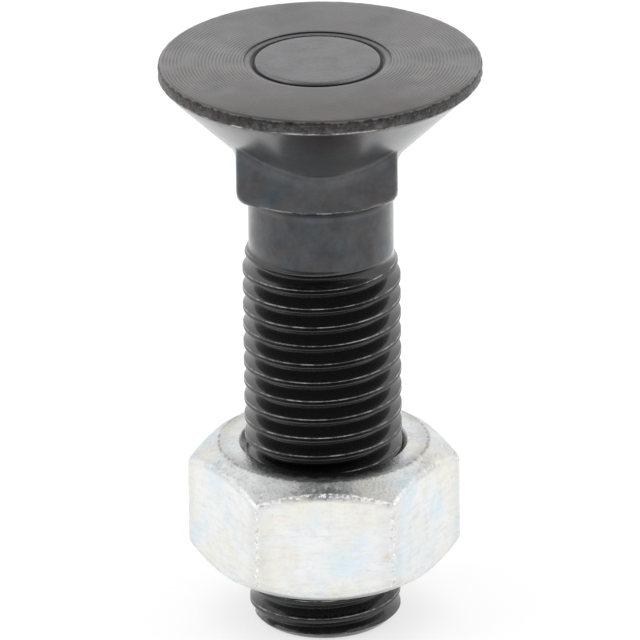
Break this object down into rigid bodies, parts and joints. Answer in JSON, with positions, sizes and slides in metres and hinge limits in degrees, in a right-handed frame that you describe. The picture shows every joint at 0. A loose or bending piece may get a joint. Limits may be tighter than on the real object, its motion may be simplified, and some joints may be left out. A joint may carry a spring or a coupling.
{
  "type": "plow bolt with hex nut",
  "caption": "Plow bolt with a flat countersunk head, a square neck that stops it turning, a rolled coarse thread and a zinc-plated hex nut that draws it tight.",
  "frame": {"origin": "centre of the bolt's threaded end face, on which it stands", "axes": "+Z along the bolt's axis towards the head; a flat of the square neck and a flat of the nut face -Y"},
  "size_m": [0.032, 0.032, 0.06],
  "materials": {
    "black_steel": "black oxide over forged and rolled steel, satin turned face on the head",
    "zinc_plate": "bright zinc plate with a faint pale bloom"
  },
  "bodies": {
    "bolt": {"bolt": "black_steel"},
    "nut": {"hex_nut": "zinc_plate"}
  },
  "joints": [
    {"name": "nut_travel", "type": "slide", "parent": "bolt", "child": "nut", "axis": [0, 0, 1], "range_m": [-0.006, 0.018]}
  ]
}
